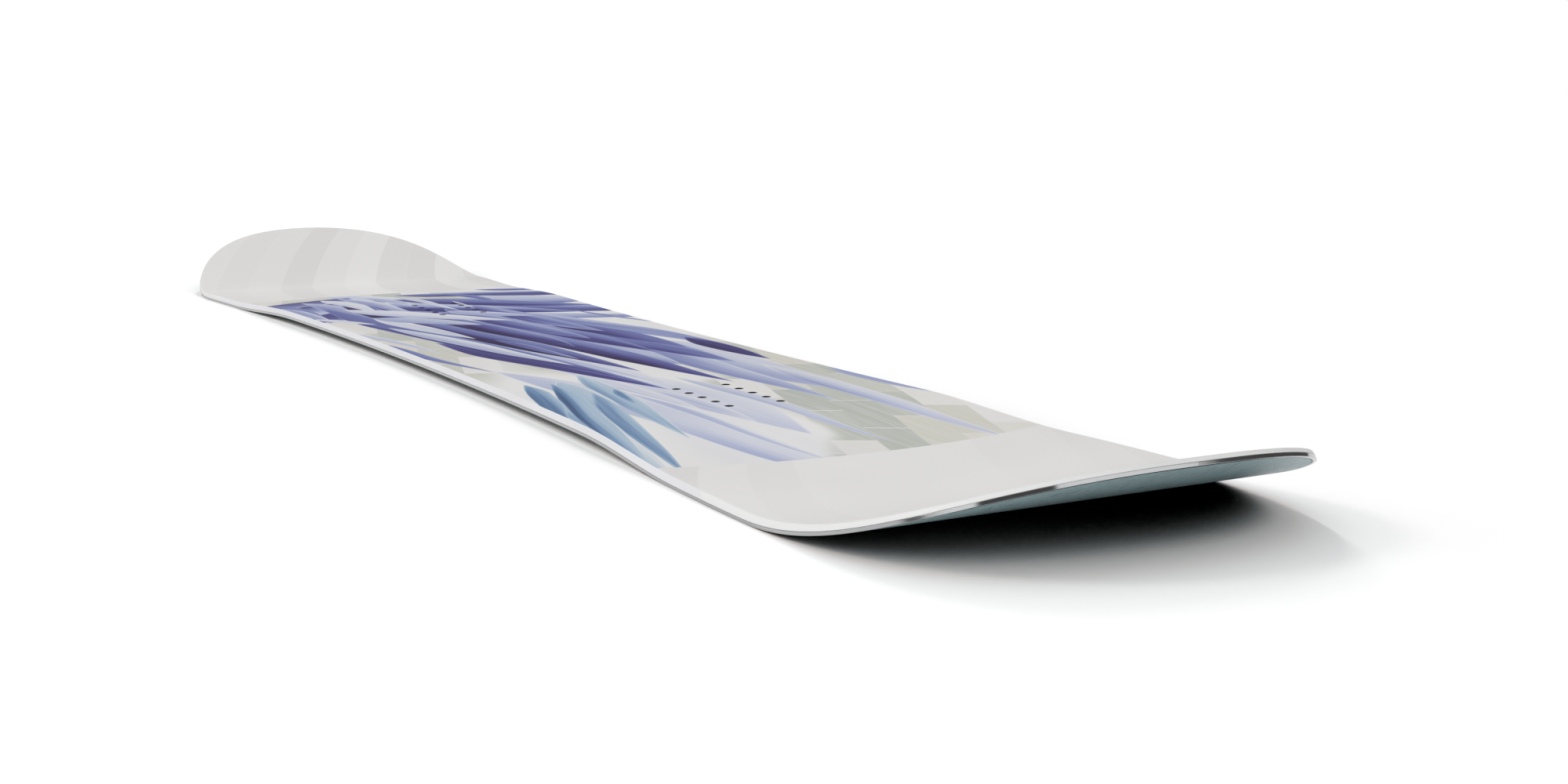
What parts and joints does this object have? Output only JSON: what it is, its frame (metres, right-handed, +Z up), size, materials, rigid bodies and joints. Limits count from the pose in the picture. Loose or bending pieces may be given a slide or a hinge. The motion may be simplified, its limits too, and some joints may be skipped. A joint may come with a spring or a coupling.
{
  "type": "snowboard",
  "caption": "Directional cambered snowboard of sandwich construction, with steel edges, sidewalls, wood core strips and threaded binding inserts.",
  "frame": {"origin": "on the ground, under the middle of the board's length and on its middle line", "axes": "+X along the board to the nose, +Y to the left of someone who looks at the nose, +Z up"},
  "size_m": [1.545, 0.312, 0.0573],
  "materials": {
    "topsheet": "satin white polyamide topsheet, printed from below in the middle",
    "laminate": "glass cloth in clear resin",
    "base": "structured polyethylene running base, pale grey blue",
    "edge_steel": "ground along its length",
    "sidewall": "bevelled white ABS, satin",
    "tip_spacer": "bevelled white ABS, satin",
    "core_poplar": "sawn poplar",
    "core_hardwood": "sawn beech",
    "insert_steel": "turned stainless steel"
  },
  "bodies": {
    "root": {"topsheet": "topsheet", "top_laminate": "laminate", "bottom_laminate": "laminate", "base_sheet": "base", "steel_edge_left": "edge_steel", "steel_edge_right": "edge_steel", "sidewall_left": "sidewall", "sidewall_right": "sidewall", "nose_spacer": "tip_spacer", "tail_spacer": "tip_spacer", "core_strip_centre": "core_poplar", "core_insert_strip_left": "core_hardwood", "core_insert_strip_right": "core_hardwood", "core_strip_1_left": "core_poplar", "core_strip_1_right": "core_poplar", "core_strip_2_left": "core_poplar", "core_strip_2_right": "core_poplar", "core_strip_3_left": "core_poplar", "core_strip_3_right": "core_poplar", "insert_nose_left_1": "insert_steel", "insert_nose_left_2": "insert_steel", "insert_nose_left_3": "insert_steel", "insert_nose_left_4": "insert_steel", "insert_nose_left_5": "insert_steel", "insert_nose_right_1": "insert_steel", "insert_nose_right_2": "insert_steel", "insert_nose_right_3": "insert_steel", "insert_nose_right_4": "insert_steel", "insert_nose_right_5": "insert_steel", "insert_tail_left_1": "insert_steel", "insert_tail_left_2": "insert_steel", "insert_tail_left_3": "insert_steel", "insert_tail_left_4": "insert_steel", "insert_tail_left_5": "insert_steel", "insert_tail_right_1": "insert_steel", "insert_tail_right_2": "insert_steel", "insert_tail_right_3": "insert_steel", "insert_tail_right_4": "insert_steel", "insert_tail_right_5": "insert_steel"}
  },
  "joints": []
}
